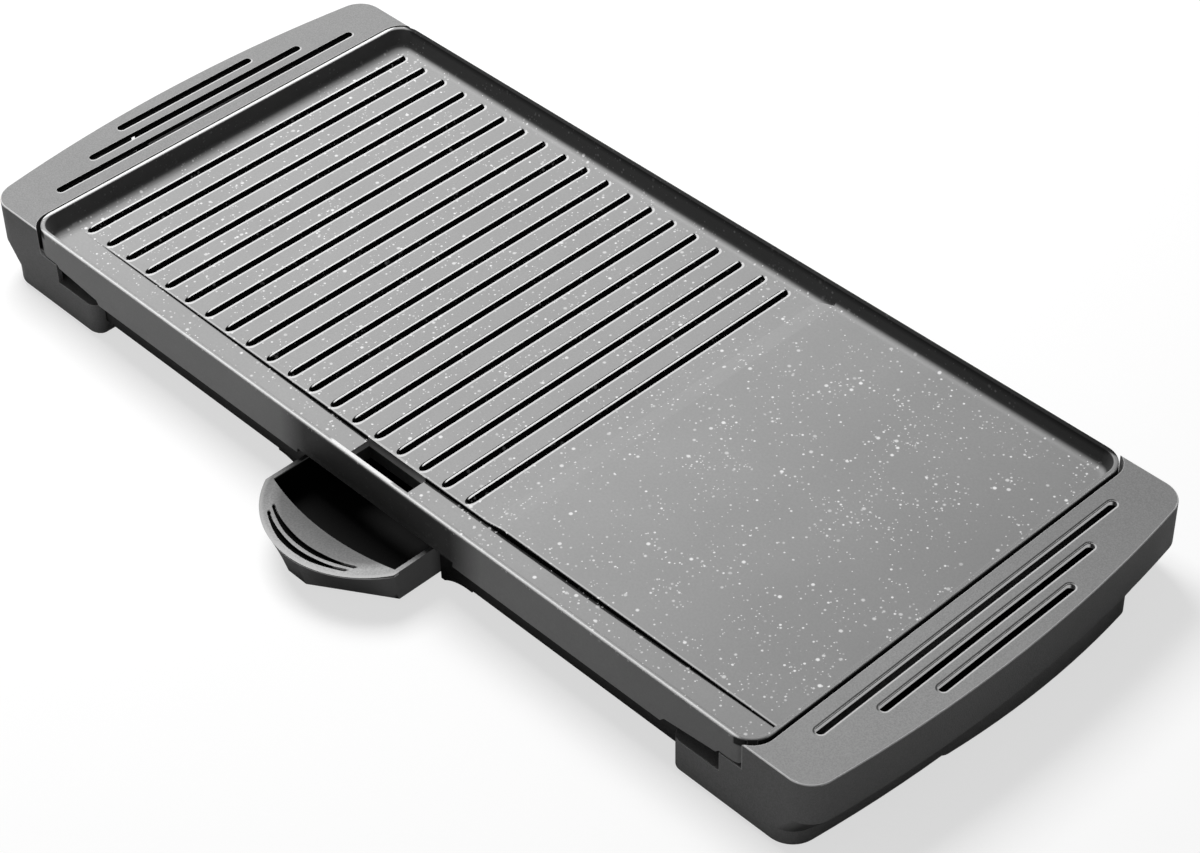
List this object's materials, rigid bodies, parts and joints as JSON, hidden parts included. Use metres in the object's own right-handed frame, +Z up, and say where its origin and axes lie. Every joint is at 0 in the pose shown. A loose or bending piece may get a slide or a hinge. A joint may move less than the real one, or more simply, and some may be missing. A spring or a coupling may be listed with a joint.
{
  "type": "electric table grill",
  "caption": "Open electric table grill: long non-stick plate, part ribbed and part flat, with a grease channel and drain, handles with feet at both ends, and a pull-out grease drawer",
  "frame": {"origin": "the middle of the whole footprint on the table, with the drawer pulled out as shown", "axes": "X runs along the length with the flat zone towards +X, the front with the drawer is towards -Y, Z is up"},
  "size_m": [0.5594, 0.2836, 0.046],
  "materials": {
    "nonstick_plate": "die-cast plate with a speckled dark grey non-stick coating",
    "grey_plastic": "fine-textured heat-resistant plastic",
    "black_plastic": "plain black plastic",
    "drawer_plastic": "satin dark plastic",
    "element_sheath": "heat-darkened steel sheath",
    "reflector_steel": "bright steel sheet",
    "plated_steel": "zinc-plated steel",
    "contact_brass": "plain brass",
    "ceramic": "white ceramic",
    "foot_rubber": "soft black rubber",
    "pad_silicone": "heat-resistant silicone"
  },
  "bodies": {
    "base": {"base_tray": "black_plastic", "right_end_housing": "grey_plastic", "left_end_housing": "grey_plastic", "right_bottom_cover": "black_plastic", "left_bottom_cover": "black_plastic", "cover_screws": "plated_steel", "frame_screws": "plated_steel", "foot_pads": "foot_rubber", "plate_rest_pads": "pad_silicone", "heat_reflector": "reflector_steel", "reflector_screws": "plated_steel", "drain_chute": "reflector_steel", "chute_rivets": "plated_steel", "drawer_rail_left": "plated_steel", "drawer_rail_right": "plated_steel", "rail_rivets": "plated_steel", "drawer_bumpers": "foot_rubber", "inlet_sleeve": "black_plastic"},
    "plate": {"grill_plate": "nonstick_plate", "heating_element": "element_sheath", "element_clips": "plated_steel", "clip_screws": "plated_steel", "terminal_bracket": "plated_steel", "bracket_screws": "plated_steel", "terminal_insulators": "ceramic", "terminal_pins": "plated_steel", "probe_tube": "plated_steel", "earth_contact": "contact_brass"},
    "drawer": {"grease_drawer": "drawer_plastic"}
  },
  "joints": [
    {"name": "plate_lift", "type": "slide", "parent": "base", "child": "plate", "axis": [0, 0, 1], "range_m": [0, 0.06]},
    {"name": "drawer_slide", "type": "slide", "parent": "base", "child": "drawer", "axis": [0, -1, 0], "range_m": [-0.027, 0.08]}
  ]
}
